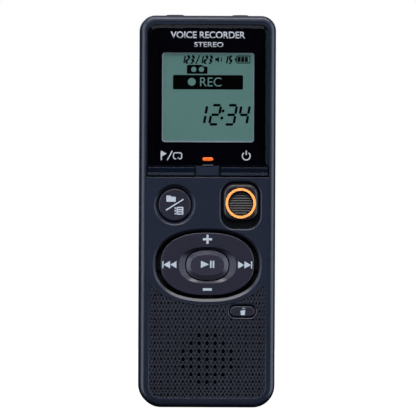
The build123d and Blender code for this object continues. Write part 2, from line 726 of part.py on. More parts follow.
def rear_case():
    inner = WIDTH / 2 - WALL
    shell = BODY - plate(Rectangle(99, 2 * HEIGHT + 99), -1, PARTING)
    shell -= plate(outline(WALL), PARTING, DEPTH - BACK_WALL)
    lining = outline(0.8) & box_sketch(-inner, inner, 1.0, COVER_TOP + 2)
    shell += plate(lining, COVER_D - LEDGE, COVER_D)
    shell += block(
        -TRAY_HALF - 1, TRAY_HALF + 1, TRAY_LOW - 1, TRAY_HIGH + 1, TRAY_FLOOR, COVER_D
    )
    shell -= block(-TRAY_HALF, TRAY_HALF, TRAY_LOW, TRAY_HIGH, TRAY_FLOOR + 0.5, COVER_D + 1)
    shell += block(-0.3, 0.3, TRAY_LOW, TRAY_HIGH, TRAY_FLOOR + 0.4, TRAY_FLOOR + 1.6)
    for x, z in SCREWS:
        shell += post(x, z, SCREW_BOSS_R, PARTING, DEPTH - BACK_WALL)
        shell -= post(x, z, SCREW_R + 0.15, PARTING, DEPTH)
        shell -= post(x, z, SCREW_HEAD_R + 0.15, SCREW_SEAT, DEPTH + 1)
    shell -= cover_space(0.1)
    for side in (-1, 1):
        shell -= jack_hole(side)
    mic_hole = Pos(0, FRONT_Y + MIC_D, HEIGHT) * Cylinder(0.6, 3 * WALL)
    return shell - mic_hole


def battery_cover():
    """The sliding cover: the back's own surface, with a ribbed thumb rest and an arrow."""
    cover = BODY & cover_space()
    cover -= block(-TRAY_HALF, TRAY_HALF, TRAY_LOW, COVER_TOP + 1, COVER_D, COVER_D + 0.45)
    for i in range(7):
        z = 66.0 + 1.3 * i
        cover -= block(-5.5, 5.5, z, z + 0.6, DEPTH - 0.35, DEPTH + 1)
    arrow = Pos(0, 60.5) * Triangle(a=5.0, b=5.0, c=5.0, rotation=180)
    cover -= plate(arrow, DEPTH - 0.3, DEPTH + 1)
    return cover


def case_screw(x, z):
    head = post(x, z, SCREW_HEAD_R, SCREW_SEAT, SCREW_SEAT + 1.0)
    head = fillet(back_edges(head), 0.3)
    cross = Pos(x, z) * (Rectangle(1.7, 0.42) + Rectangle(0.42, 1.7))
    head -= plate(cross, SCREW_SEAT + 0.35, SCREW_SEAT + 1.1)
    return head + post(x, z, SCREW_R, SCREW_TIP, SCREW_SEAT)


# ---- cells and contacts ----
def upright(x, z, radius, length):
    """A round bar along Z whose lower end is at z, on a cell's axis."""
    rod = Cylinder(radius, length, align=(Align.CENTER, Align.CENTER, Align.MIN))
    return Pos(x, FRONT_Y + CELL_D, z) * rod


def cell(x, bottom, nub_up):
    body_long = CELL_LONG - 1.0
    start = bottom if nub_up else bottom + 1.0
    body = upright(x, start, CELL_R, body_long)
    body = fillet(body.edges().filter_by(GeomType.CIRCLE), 0.5)
    nub = upright(x, start + body_long if nub_up else bottom, 1.9, 1.0)
    return body + nub


def contact_plate(x0, x1, z):
    return block(x0, x1, z, z + CONTACT, CELL_D - 3.6, CELL_D + 3.6)


def coil_spring(x, z):
    """A short open coil between a contact plate and a cell's flat end."""
    wire = 0.3
    turns = 4
    climb = SPRING_LONG - 2 * wire
    path = Pos(x, FRONT_Y + CELL_D, z + wire) * Helix(climb / turns, climb, 2.6)
    section = Plane(path @ 0, z_dir=path % 0) * Circle(wire)
    return sweep(section, path=path, is_frenet=True)


def cell_parts():
    low = TRAY_LOW + CONTACT
    high = TRAY_HIGH - CONTACT
    return {
        "battery_cell_left": cell(-CELL_X, low + SPRING_LONG, nub_up=True),
        "battery_cell_right": cell(CELL_X, low, nub_up=False),
        "bridge_contact": contact_plate(-9.5, 9.5, TRAY_LOW),
        "positive_terminal": contact_plate(-9.5, -1.2, high),
        "negative_terminal": contact_plate(1.2, 9.5, high),
        "battery_springs": Part() + [coil_spring(-CELL_X, low), coil_spring(CELL_X, low + CELL_LONG)],
    }


# ---- every piece ----
def build():
    pieces = {
        "front_case": front_case(),
        "rear_case": rear_case(),
        "battery_cover": battery_cover(),
        "display_window": display_window(),
        "window_mask": window_mask(),
        "record_lamp": record_lamp(),
        "index_button": bar_key(INDEX_BAR),
        "power_button": bar_key(POWER_BAR),
        "menu_button": menu_key(),
        "erase_button": erase_key(),
        "play_button": play_key(),
        "play_key_boss": key_boss(0, PAD_Z, 1.6, 2.35),
        "dpad_ring": pad_ring(),
        "dpad_side_bosses": pad_bosses(),
        "dpad_rocker_plate": rocker_plate(),
        "rec_slider": slide_knob(),
        "keypad_sheet": keypad_sheet(),
        "dome_switches": dome_switches(),
        "main_board": main_board(),
        "mic_jack": jack(-1),
        "ear_jack": jack(1),
        "jack_contacts": jack_contacts(),
        "speaker_lead_red": speaker_lead(-2.0),
        "speaker_lead_black": speaker_lead(2.0),
        "case_screws": Part() + [case_screw(x, z) for x, z in SCREWS],
    }
    for key, (x, z, radius) in KEY_PLACES.items():
        pieces[f"{key}_key_boss"] = key_boss(x, z, radius)
    groups = (lcd_parts, slide_parts, board_parts, usb_parts, microphone_parts, speaker_parts, cell_parts)
    for group in groups:
        pieces.update(group())
    return pieces


for name, piece in build().items():
    save(name, piece)
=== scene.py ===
"""Looks of the handheld voice recorder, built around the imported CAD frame.

Metres, +X to the right of the display, +Z to the jack end, -Y out of the display.
Outlines are drawn in millimetres as (x, z) and stood up at a depth behind the front face.
"""
import json
from math import cos, pi, radians, sin, sqrt

import bmesh
import bpy
from mathutils import Matrix, Vector


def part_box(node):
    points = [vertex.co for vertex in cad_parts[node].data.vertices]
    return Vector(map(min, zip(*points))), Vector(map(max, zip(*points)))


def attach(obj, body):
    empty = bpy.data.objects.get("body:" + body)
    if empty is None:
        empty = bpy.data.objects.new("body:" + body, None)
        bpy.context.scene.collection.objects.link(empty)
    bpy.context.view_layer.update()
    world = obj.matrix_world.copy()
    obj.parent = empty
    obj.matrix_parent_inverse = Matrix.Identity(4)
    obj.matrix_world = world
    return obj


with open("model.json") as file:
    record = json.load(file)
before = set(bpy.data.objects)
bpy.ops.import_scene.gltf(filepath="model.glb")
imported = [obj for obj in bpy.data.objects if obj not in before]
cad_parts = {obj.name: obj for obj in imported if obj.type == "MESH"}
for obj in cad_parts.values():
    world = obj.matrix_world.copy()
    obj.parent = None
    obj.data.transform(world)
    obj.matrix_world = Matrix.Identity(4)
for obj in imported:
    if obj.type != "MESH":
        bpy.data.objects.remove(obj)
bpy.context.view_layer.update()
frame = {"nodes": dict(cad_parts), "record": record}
scene = bpy.context.scene
NODES = frame["nodes"]

MM = 0.001
FRONT_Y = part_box("front_case")[0].y
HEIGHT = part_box("front_case")[1].z / MM
HALF_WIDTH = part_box("front_case")[1].x / MM
ROOT = "root_case"


# ------------------------------------------------------------------ camera and stage
SENSOR = 36.0
FRAME_WIDTH = 114.65 * MM
CAMERA_AWAY = 2.2
AIM = Vector((0.085 * MM, FRONT_Y, 54.97 * MM))
TURN = radians(-1.7)
ROLL = radians(0.25)


def make_camera():
    """A long lens looking level at the display, turned a little to its left."""
    data = bpy.data.cameras.new("camera")
    data.sensor_width = SENSOR
    data.lens = SENSOR * CAMERA_AWAY / FRAME_WIDTH
    data.clip_end = 50
    camera = bpy.data.objects.new("camera", data)
    scene.collection.objects.link(camera)
    camera.location = AIM + Vector((sin(TURN), -cos(TURN), 0)) * CAMERA_AWAY
    facing = (AIM - camera.location).to_track_quat("-Z", "Y").to_matrix().to_4x4()
    roll = Matrix.Rotation(ROLL, 4, "Z")
    camera.matrix_world = Matrix.Translation(camera.location) @ facing @ roll
    scene.camera = camera
    scene.view_settings.view_transform = "Standard"


def make_world():
    """White seen directly; for lighting, bright from above and dark from below."""
    world = bpy.data.worlds.new("studio")
    world.use_nodes = True
    scene.world = world
    tree = world.node_tree
    tree.nodes.clear()
    new = tree.nodes.new
    link = tree.links.new
    coordinate = new("ShaderNodeTexCoord")
    split = new("ShaderNodeSeparateXYZ")
    ramp = new("ShaderNodeValToRGB")
    ramp.color_ramp.elements[0].position = 0.50
    ramp.color_ramp.elements[0].color = (0.014, 0.015, 0.020, 1)
    ramp.color_ramp.elements[1].position = 0.85
    ramp.color_ramp.elements[1].color = (0.22, 0.23, 0.27, 1)
    shift = new("ShaderNodeMath")
    shift.operation = "MULTIPLY_ADD"
    shift.inputs[1].default_value = 0.5
    shift.inputs[2].default_value = 0.5
    light = new("ShaderNodeBackground")
    seen = new("ShaderNodeBackground")
    seen.inputs["Color"].default_value = (1, 1, 1, 1)
    path = new("ShaderNodeLightPath")
    mix = new("ShaderNodeMixShader")
    out = new("ShaderNodeOutputWorld")
    link(coordinate.outputs["Generated"], split.inputs[0])
    link(split.outputs["Z"], shift.inputs[0])
    link(shift.outputs[0], ramp.inputs["Fac"])
    link(ramp.outputs["Color"], light.inputs["Color"])
    link(path.outputs["Is Camera Ray"], mix.inputs["Fac"])
    link(light.outputs[0], mix.inputs[1])
    link(seen.outputs[0], mix.inputs[2])
    link(mix.outputs[0], out.inputs["Surface"])


LIGHTS_AIM = Vector((0, 0, 0.055))
PANEL_BLUE = (0.80, 0.88, 1.0)
MATT = ("diffuse",)
GLOSS = ("glossy",)
LIGHTS = (  # name, place, size, watts, colour, and the surfaces it acts on
    ("top_softbox", (0, -0.235, 0.650), (0.9, 0.17), 4.3, (1.0, 0.96, 0.91), MATT + GLOSS),
    ("low_card", (0, -0.62, 0.43), (0.5, 0.12), 0.14, PANEL_BLUE, GLOSS),
    ("left_panel", (-0.60, -0.37, 0.10), (0.62, 0.80), 4.6, PANEL_BLUE, GLOSS),
    ("right_panel", (0.62, -0.34, 0.10), (0.58, 0.80), 4.6, PANEL_BLUE, GLOSS),
    ("right_card", (0.42, -0.62, 0.12), (0.10, 0.70), 0.14, (0.35, 0.80, 1.0), GLOSS),
    ("front_fill", (-0.12, -0.85, 0.85), (0.7, 0.5), 28.0, (0.97, 0.98, 1.0), MATT),
    ("back_left", (-0.20, 0.45, 0.75), (0.4, 0.3), 22.0, (1, 1, 1), MATT),
    ("back_right", (0.20, 0.85, 0.25), (0.4, 0.5), 9.0, (1, 1, 1), MATT),
)


def make_lights():
    """Rectangular lights; each lights matt surfaces, shows in reflections, or both."""
    for name, place, size, energy, colour, reach in LIGHTS:
        data = bpy.data.lights.new(name, "AREA")
        data.shape = "RECTANGLE"
        data.size, data.size_y = size
        data.energy = energy
        data.color = colour
        lamp = bpy.data.objects.new(name, data)
        scene.collection.objects.link(lamp)
        lamp.location = place
        lamp.rotation_euler = (LIGHTS_AIM - Vector(place)).to_track_quat("-Z", "Y").to_euler()
        lamp.visible_camera = False
        lamp.visible_diffuse = "diffuse" in reach
        lamp.visible_glossy = "glossy" in reach


FLOOR_HALF = 0.9
FLOOR_COLOUR = (0.04, 0.04, 0.04)
FLOOR_GLOW = 0.95


def make_floor():
    """A plain pale table, evenly bright, that doesn't light the object from below."""
    mesh = bpy.data.meshes.new("floor")
    corners = [(x * FLOOR_HALF, y * FLOOR_HALF, 0) for x, y in ((-1, -1), (1, -1), (1, 1), (-1, 1))]
    mesh.from_pydata(corners, [], [(0, 1, 2, 3)])
    floor = bpy.data.objects.new("floor", mesh)
    scene.collection.objects.link(floor)
    material, shader, _ = new_material("floor", FLOOR_COLOUR, 0.8, specular=0.0)
    shader.inputs["Emission Color"].default_value = (1, 1, 1, 1)
    shader.inputs["Emission Strength"].default_value = FLOOR_GLOW
    mesh.materials.append(material)
    floor.visible_diffuse = False
    floor.visible_glossy = False
    floor.visible_transmission = False


# ------------------------------------------------------------------ materials
NOISE_SPAN = (0.3, 0.7)  # the values between which most of a noise pattern lies
# Patterns, as cycles per metre.
DRIFT_SCALE = 70
GRAIN_SCALE = 1 / (0.16 * MM)
STAIN_SCALE = 260
STREAK_SCALE = 2200
WEAR_SCALE = 900
STREAK_STRETCH = (1.0, 1.0, 0.08)
GRAIN_DEPTH = 0.02 * MM
DRAWN_DEPTH = 0.01 * MM
# How far the roughness strays either way, and how dark stained metal is.
PLASTIC_SHEEN = 0.05
METAL_SHEEN = 0.08
STAINED = 0.82
# the near black of the painted shade laid into recesses
PAINTED_SHADE_COLOUR = (0.0015, 0.0015, 0.0025)
# the painted shade on the front case stays this far inside its side and end walls
SIDE_WALL = 1.7
END_WALL = 2.0
ACRYLIC_IOR = 1.49


def new_material(name, colour, roughness, metallic=0.0, specular=0.5):
    material = bpy.data.materials.new(name)
    material.use_nodes = True
    tree = material.node_tree
    shader = tree.nodes["Principled BSDF"]
    shader.inputs["Base Color"].default_value = (*colour, 1)
    shader.inputs["Roughness"].default_value = roughness
    shader.inputs["Metallic"].default_value = metallic
    shader.inputs["Specular IOR Level"].default_value = specular
    return material, shader, tree


def object_coordinates(tree, stretch=(1, 1, 1)):
    coordinate = tree.nodes.new("ShaderNodeTexCoord")
    mapping = tree.nodes.new("ShaderNodeMapping")
    mapping.inputs["Scale"].default_value = stretch
    tree.links.new(coordinate.outputs["Object"], mapping.inputs["Vector"])
    return mapping.outputs["Vector"]


def noise_node(tree, scale, detail, roughness=0.5, stretch=(1, 1, 1)):
    """A noise pattern; a stretch below one draws it out along that axis."""
    node = tree.nodes.new("ShaderNodeTexNoise")
    node.inputs["Scale"].default_value = scale
    node.inputs["Detail"].default_value = detail
    node.inputs["Roughness"].default_value = roughness
    tree.links.new(object_coordinates(tree, stretch), node.inputs["Vector"])
    return node.outputs["Fac"]


def ramp_node(tree, source, low, high):
    ramp = tree.nodes.new("ShaderNodeValToRGB")
    for element, place, colour in zip(ramp.color_ramp.elements, NOISE_SPAN, (low, high)):
        element.position = place
        element.color = (*colour, 1)
    tree.links.new(source, ramp.inputs["Fac"])
    return ramp.outputs["Color"]


def range_node(tree, source, low, high):
    node = tree.nodes.new("ShaderNodeMapRange")
    node.inputs["From Min"].default_value = NOISE_SPAN[0]
    node.inputs["From Max"].default_value = NOISE_SPAN[1]
    node.inputs["To Min"].default_value = low
    node.inputs["To Max"].default_value = high
    tree.links.new(source, node.inputs["Value"])
    return node.outputs["Result"]


def add_bump(tree, shader, source, strength, height):
    bump = tree.nodes.new("ShaderNodeBump")
    bump.inputs["Strength"].default_value = strength
    bump.inputs["Distance"].default_value = height
    tree.links.new(source, bump.inputs["Height"])
    tree.links.new(bump.outputs["Normal"], shader.inputs["Normal"])


def within(tree, place, middle, half):
    """One where a coordinate lies within half of the middle, both in millimetres."""
    away = tree.nodes.new("ShaderNodeMath")
    away.operation = "COMPARE"
    away.inputs[1].default_value = middle * MM
    away.inputs[2].default_value = half * MM
    tree.links.new(place, away.inputs[0])
    return away.outputs[0]


def product(tree, one, other):
    times = tree.nodes.new("ShaderNodeMath")
    times.operation = "MULTIPLY"
    tree.links.new(one, times.inputs[0])
    tree.links.new(other, times.inputs[1])
    return times.outputs[0]


def painted_recess_shade(tree, colour, depths, inside):
    """Painted shade: the colour fading to near black between two depths behind the front face, standing in
    for the shade in recesses.
    """
    split = tree.nodes.new("ShaderNodeSeparateXYZ")
    tree.links.new(object_coordinates(tree), split.inputs[0])
    fade = tree.nodes.new("ShaderNodeMapRange")
    fade.inputs["From Min"].default_value = depth_y(depths[0])
    fade.inputs["From Max"].default_value = depth_y(depths[1])
    tree.links.new(split.outputs["Y"], fade.inputs["Value"])
    amount = fade.outputs["Result"]
    if inside:
        amount = product(tree, amount, within(tree, split.outputs["X"], 0, HALF_WIDTH - SIDE_WALL))
        amount = product(tree, amount, within(tree, split.outputs["Z"], HEIGHT / 2, HEIGHT / 2 - END_WALL))
    return painted(tree, amount, colour, PAINTED_SHADE_COLOUR)


def moulded(name, colour, roughness, grain=0.12, spread=0.12, specular=0.5, shade_depths=None, inside=False):
    """Moulded plastic: an eroded fine grain, a slow drift of colour, and uneven sheen.

    Between two given depths the colour fades to near black: painted shade in the recesses, kept with inside
    to within the case's outer walls.
    """
    material, shader, tree = new_material(name, colour, roughness, specular=specular)
    low = tuple(c * (1 - spread) for c in colour)
    high = tuple(c * (1 + spread) for c in colour)
    shade = ramp_node(tree, noise_node(tree, DRIFT_SCALE, 3.0), low, high)
    if shade_depths:
        shade = painted_recess_shade(tree, shade, shade_depths, inside)
    tree.links.new(shade, shader.inputs["Base Color"])
    fine = noise_node(tree, GRAIN_SCALE, 3.0, 0.6)
    rough = range_node(tree, fine, roughness - PLASTIC_SHEEN, roughness + PLASTIC_SHEEN)
    tree.links.new(rough, shader.inputs["Roughness"])
    if grain:
        add_bump(tree, shader, fine, grain, GRAIN_DEPTH)
    return material


def metal(name, colour, roughness, lines):
    """Plated metal with fine drawn lines and a little staining."""
    material, shader, tree = new_material(name, colour, roughness, metallic=1.0)
    stained = tuple(c * STAINED for c in colour)
    shade = ramp_node(tree, noise_node(tree, STAIN_SCALE, 4.0), stained, colour)
    tree.links.new(shade, shader.inputs["Base Color"])
    streak = noise_node(tree, STREAK_SCALE, 2.0, stretch=STREAK_STRETCH)
    rough = range_node(tree, streak, roughness - METAL_SHEEN, roughness + METAL_SHEEN)
    tree.links.new(rough, shader.inputs["Roughness"])
    add_bump(tree, shader, streak, lines, DRAWN_DEPTH)
    return material


def clear_film(name, gloss_roughness):
    """A clear sheet: what is behind it shows, under a Fresnel reflection on its outer faces."""
    material = bpy.data.materials.new(name)
    material.use_nodes = True
    tree = material.node_tree
    tree.nodes.clear()
    through = tree.nodes.new("ShaderNodeBsdfTransparent")
    gloss = tree.nodes.new("ShaderNodeBsdfGlossy")
    gloss.inputs["Roughness"].default_value = gloss_roughness
    fresnel = tree.nodes.new("ShaderNodeFresnel")
    fresnel.inputs["IOR"].default_value = ACRYLIC_IOR
    facing = tree.nodes.new("ShaderNodeNewGeometry")
    outer = tree.nodes.new("ShaderNodeMath")
    outer.operation = "SUBTRACT"
    outer.use_clamp = True
    mix = tree.nodes.new("ShaderNodeMixShader")
    out = tree.nodes.new("ShaderNodeOutputMaterial")
    tree.links.new(fresnel.outputs[0], outer.inputs[0])
    tree.links.new(facing.outputs["Backfacing"], outer.inputs[1])
    tree.links.new(outer.outputs[0], mix.inputs["Fac"])
    tree.links.new(through.outputs[0], mix.inputs[1])
    tree.links.new(gloss.outputs[0], mix.inputs[2])
    tree.links.new(mix.outputs[0], out.inputs["Surface"])
    return material


def board_material():
    """Green solder mask with traces running under it."""
    material, shader, tree = new_material("solder_mask", (0.010, 0.085, 0.030), 0.35)
    traces = tree.nodes.new("ShaderNodeTexBrick")
    traces.inputs["Scale"].default_value = 900
    traces.inputs["Mortar Size"].default_value = 0.035
    traces.inputs["Color1"].default_value = (0.010, 0.085, 0.030, 1)
    traces.inputs["Color2"].default_value = (0.009, 0.075, 0.028, 1)
    traces.inputs["Mortar"].default_value = (0.030, 0.170, 0.060, 1)
    turned = tree.nodes.new("ShaderNodeMapping")
    turned.inputs["Rotation"].default_value = (pi / 2, 0, 0)
    tree.links.new(object_coordinates(tree), turned.inputs["Vector"])
    tree.links.new(turned.outputs["Vector"], traces.inputs["Vector"])
    tree.links.new(traces.outputs["Color"], shader.inputs["Base Color"])
    add_bump(tree, shader, traces.outputs["Fac"], 0.3, GRAIN_DEPTH)
    return material


def between(tree, height, low, high):
    """One where the height is between two levels in millimetres, else zero."""
    above = tree.nodes.new("ShaderNodeMath")
    above.operation = "GREATER_THAN"
    above.inputs[1].default_value = low * MM
    below = tree.nodes.new("ShaderNodeMath")
    below.operation = "LESS_THAN"
    below.inputs[1].default_value = high * MM
    tree.links.new(height, above.inputs[0])
    tree.links.new(height, below.inputs[0])
    return product(tree, above.outputs[0], below.outputs[0])


def painted(tree, mask, under, over):
    """A colour laid over another where the mask is one."""
    mix = tree.nodes.new("ShaderNodeMix")
    mix.data_type = "RGBA"
    mix.inputs[7].default_value = (*over, 1)
    if isinstance(under, tuple):
        mix.inputs[6].default_value = (*under, 1)
    else:
        tree.links.new(under, mix.inputs[6])
    tree.links.new(mask, mix.inputs[0])
    return mix.outputs[2]


JACKET = (0.012, 0.03, 0.09)
STEEL = (0.55, 0.55, 0.54)
STRIPES = (  # from and to, in millimetres from the plus end, and the colour
    ((1.3, 12.0), (0.50, 0.22, 0.09)),
    ((12.0, 12.8), (0.55, 0.57, 0.60)),
)
BARE_PLUS = 1.85
BARE_MINUS = 0.85
PLUS_UP = {"battery_cell_left": True, "battery_cell_right": False}


def cell_material(name, plus_up):
    """A cell's printed jacket: dark blue, a copper band by the plus end, bare steel ends."""
    low, high = (corner.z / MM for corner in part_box(name))
    plus, way = (high, -1) if plus_up else (low, 1)
    bare_foot, bare_top = (BARE_MINUS, BARE_PLUS) if plus_up else (BARE_PLUS, BARE_MINUS)
    material, shader, tree = new_material(name, JACKET, 0.3)
    split = tree.nodes.new("ShaderNodeSeparateXYZ")
    tree.links.new(object_coordinates(tree), split.inputs[0])
    height = split.outputs["Z"]
    colour = JACKET
    for stripe, paint in STRIPES:
        mask = between(tree, height, *sorted(plus + way * away for away in stripe))
        colour = painted(tree, mask, colour, paint)
    foot = between(tree, height, low - 0.5, low + bare_foot)
    top = between(tree, height, high - bare_top, high)
    for mask in (foot, top):
        colour = painted(tree, mask, colour, STEEL)
    bare = tree.nodes.new("ShaderNodeMath")
    bare.operation = "ADD"
    tree.links.new(foot, bare.inputs[0])
    tree.links.new(top, bare.inputs[1])
    tree.links.new(colour, shader.inputs["Base Color"])
    tree.links.new(bare.outputs[0], shader.inputs["Metallic"])
    wear = noise_node(tree, WEAR_SCALE, 3.0)
    tree.links.new(range_node(tree, wear, 0.27, 0.33), shader.inputs["Roughness"])
    return material


CASE_COLOUR = (0.0072, 0.0096, 0.0182)
PLASTICS = {  # colour, roughness, and where it differs from plain moulded plastic
    "case_plastic": (CASE_COLOUR, 0.33, {}),
    # a pair of depths paints shade into recesses: the colour darkens to near black between them
    "front_plastic": (CASE_COLOUR, 0.33, {"shade_depths": (0.75, 1.3), "inside": True}),
    "jack_plastic": ((0.004, 0.004, 0.005), 0.45, {"specular": 0.25}),
    "black_print": ((0.0003, 0.0003, 0.0011), 0.9, {"grain": 0.0, "specular": 0.0}),
    "key_plastic": ((0.0125, 0.0126, 0.0208), 0.30, {"shade_depths": (1.0, 1.35)}),
    "play_plastic": ((0.0195, 0.0190, 0.0300), 0.30, {"shade_depths": (1.0, 1.35)}),
    "bar_plastic": ((0.0020, 0.0038, 0.0088), 0.28, {"grain": 0.03, "specular": 0.27, "shade_depths": (0.5, 0.8)}),
    "knob_plastic": ((0.0080, 0.0076, 0.0096), 0.33, {"grain": 0.06, "specular": 0.38}),
    "accent_ring": ((0.84, 0.31, 0.085), 0.35, {"grain": 0.05, "spread": 0.05}),
    "lamp": ((0.58, 0.095, 0.014), 0.25, {"grain": 0.05}),
    "led_chip": ((0.85, 0.8, 0.5), 0.3, {}),
    "frame_plastic": ((0.013, 0.013, 0.015), 0.5, {}),
    "lcd_glass": ((0.0187, 0.040, 0.0374), 0.5, {"grain": 0.0, "specular": 0.2}),
    "lcd_back": ((0.09, 0.17, 0.17), 0.5, {}),
    "rubber": ((0.004, 0.004, 0.0045), 0.85, {"grain": 0.2, "specular": 0.1}),
    "chip": ((0.012, 0.012, 0.013), 0.6, {"grain": 0.25}),
    "capacitor": ((0.30, 0.19, 0.10), 0.4, {}),
    "speaker_paper": ((0.012, 0.012, 0.014), 0.7, {"grain": 0.3}),
    "red_wire": ((0.40, 0.015, 0.012), 0.4, {}),
    "black_wire": ((0.01, 0.01, 0.01), 0.4, {}),
    "print": ((0.285, 0.325, 0.375), 0.5, {"grain": 0.0, "spread": 0.03}),
    "window_print": ((0.275, 0.290, 0.325), 0.5, {"grain": 0.0, "spread": 0.03}),
    "grille": ((0.0102, 0.0112, 0.0175), 0.45, {"grain": 0.0, "specular": 0.17, "shade_depths": (0.12, 0.60)}),
    "segment": ((0.0004, 0.0004, 0.0005), 0.9, {"grain": 0.0, "specular": 0.0}),
    "view_edge": ((0.115, 0.14, 0.17), 0.5, {"grain": 0.0, "spread": 0.05}),
    "segment_clear": ((0.022, 0.044, 0.041), 0.5, {"grain": 0.0, "specular": 0.2}),
}
METALS = {  # colour, roughness, and the strength of the drawn lines
    "spring_steel": ((0.66, 0.65, 0.62), 0.3, 0.1),
    "speaker_steel": ((0.42, 0.42, 0.43), 0.4, 0.15),
    "copper": ((0.72, 0.33, 0.16), 0.3, 0.3),
    "screw": ((0.10, 0.10, 0.105), 0.35, 0.2),
}
# painted light: a faint even glow on the display layers, which are no lamp
PAINTED_GLOWS = {"lcd_glass": (0.050, 0.104, 0.098), "segment_clear": (0.051, 0.106, 0.100)}
OWN_MATERIAL = {
    "front_case": "front_plastic",
    "index_button": "bar_plastic",
    "power_button": "bar_plastic",
    "play_button": "play_plastic",
    "rec_slider": "knob_plastic",
    "mic_jack": "jack_plastic",
    "ear_jack": "jack_plastic",
}


def make_materials():
    """Materials by name: those of the record's slots, of single nodes and of the extra pieces."""
    made = {"window": clear_film("window", 0.03), "board": board_material()}
    for name, (colour, roughness, differs) in PLASTICS.items():
        made[name] = moulded(name, colour, roughness, **differs)
    for name, (colour, roughness, lines) in METALS.items():
        made[name] = metal(name, colour, roughness, lines)
    for name, glow in PAINTED_GLOWS.items():
        # The display layers glow a little and evenly: painted light that lifts the shadow the window's mask
        # casts on them.
        shader = made[name].node_tree.nodes["Principled BSDF"]
        shader.inputs["Emission Color"].default_value = (*glow, 1)
        shader.inputs["Emission Strength"].default_value = 1.0
    return made


def dress_nodes(materials):
    """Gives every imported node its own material, or else that of its slot."""
    slots = {s["node"]: s["material_slot"] for s in frame["record"]["subparts"]}
    for name, node in NODES.items():
        if name in PLUS_UP:
            material = cell_material(name, PLUS_UP[name])
        else:
            material = materials[OWN_MATERIAL.get(name, slots[name])]
        node.data.materials.clear()
        node.data.materials.append(material)


# ------------------------------------------------------------------ mesh helpers
def depth_y(depth_mm):
    return FRONT_Y + depth_mm * MM


def add_piece(name, mesh, body, material):
    piece = bpy.data.objects.new(name, mesh)
    scene.collection.objects.link(piece)
    mesh.materials.clear()
    mesh.materials.append(material)
    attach(piece, body)


def mesh_of(data):
    """The mesh that a curve or lettering makes."""
    holder = bpy.data.objects.new("holder", data)
    mesh = bpy.data.meshes.new_from_object(holder)
    bpy.data.objects.remove(holder)
    return mesh


def closed_curve(outlines, dimensions):
    """One curve of closed outlines in millimetres."""
    curve = bpy.data.curves.new("outline", "CURVE")
    curve.dimensions = dimensions
    for points in outlines:
        spline = curve.splines.new("POLY")
        spline.points.add(len(points) - 1)
        for target, (x, z) in zip(spline.points, points):
            target.co = (x, z, 0, 1)
        spline.use_cyclic_u = True
    return curve


def stand_up(mesh, front, back):
    """Turns a slab drawn in (x, z) to face the front, with its faces at those two depths."""
    middle = depth_y((front + back) / 2)
    upright = Matrix.Rotation(pi / 2, 4, "X") @ Matrix.Scale(MM, 4)
    mesh.transform(Matrix.Translation((0, middle, 0)) @ upright)
    mesh.update()
    return mesh


def slab(outlines, front, back):
    """A slab between two depths from outlines in millimetres, islands and holes alike."""
    curve = closed_curve(outlines, "2D")
    curve.fill_mode = "BOTH"
    curve.extrude = (back - front) / 2
    return stand_up(mesh_of(curve), front, back)


def disc(x, z, radius, count):
    turns = [2 * pi * i / count for i in range(count)]
    return [(x + radius * cos(t), z + radius * sin(t)) for t in turns]


def rounded_box(x0, x1, z0, z1, radius, steps=6):
    points = []
    corners = [(x1 - radius, z1 - radius, 0), (x0 + radius, z1 - radius, 90)]
    corners += [(x0 + radius, z0 + radius, 180), (x1 - radius, z0 + radius, 270)]
    for cx, cz, start in corners:
        for i in range(steps + 1):
            a = radians(start + 90 * i / steps)
            points.append((cx + radius * cos(a), cz + radius * sin(a)))
    return points


def bar_points(x0, z0, x1, z1, width):
    """A straight stroke between two points."""
    dx, dz = x1 - x0, z1 - z0
    long = sqrt(dx * dx + dz * dz)
    ox, oz = -dz / long * width / 2, dx / long * width / 2
    return [(x0 + ox, z0 + oz), (x0 - ox, z0 - oz), (x1 - ox, z1 - oz), (x1 + ox, z1 + oz)]


# ------------------------------------------------------------------ printed legends
PRINT = 0.02  # a key's sign stands this far out of its surface, and reaches as far into it
UNDER_GLASS = 1.05  # the depth of the window's back


def triangle(x0, x1, z, half):
    return [(x0, z + half), (x0, z - half), (x1, z)]


def skip_icon(x, z, way):
    """Two triangles running into a bar; way is 1 for forwards."""
    tips = [(-1.85, -0.15), (-0.1, 1.75)]
    shapes = [triangle(x + way * a, x + way * b, z, 1.0) for a, b in tips]
    shapes.append(rounded_box(*sorted((x + way * 1.72, x + way * 2.05)), z - 1.0, z + 1.0, 0.05, 2))
    return shapes


def plus_icon(x, z):
    arm, half = 1.25, 0.3
    return [[
        (x - arm, z - half), (x - half, z - half), (x - half, z - arm), (x + half, z - arm),
        (x + half, z - half), (x + arm, z - half), (x + arm, z + half), (x + half, z + half),
        (x + half, z + arm), (x - half, z + arm), (x - half, z + half), (x - arm, z + half),
    ]]


def pad_legends():
    shapes = plus_icon(0, 46.35)
    shapes.append(rounded_box(-1.25, 1.25, 32.2, 32.86, 0.05, 2))
    shapes += skip_icon(-10.4, 39.3, -1) + skip_icon(10.3, 39.3, 1)
    return shapes


def play_legend():
    x, z = 0.0, 39.45
    shapes = [triangle(x - 1.8, x + 0.45, z, 1.0)]
    shapes.append(rounded_box(x + 0.72, x + 1.15, z - 1.0, z + 1.0, 0.04, 2))
    shapes.append(rounded_box(x + 1.45, x + 1.88, z - 1.0, z + 1.0, 0.04, 2))
    return shapes


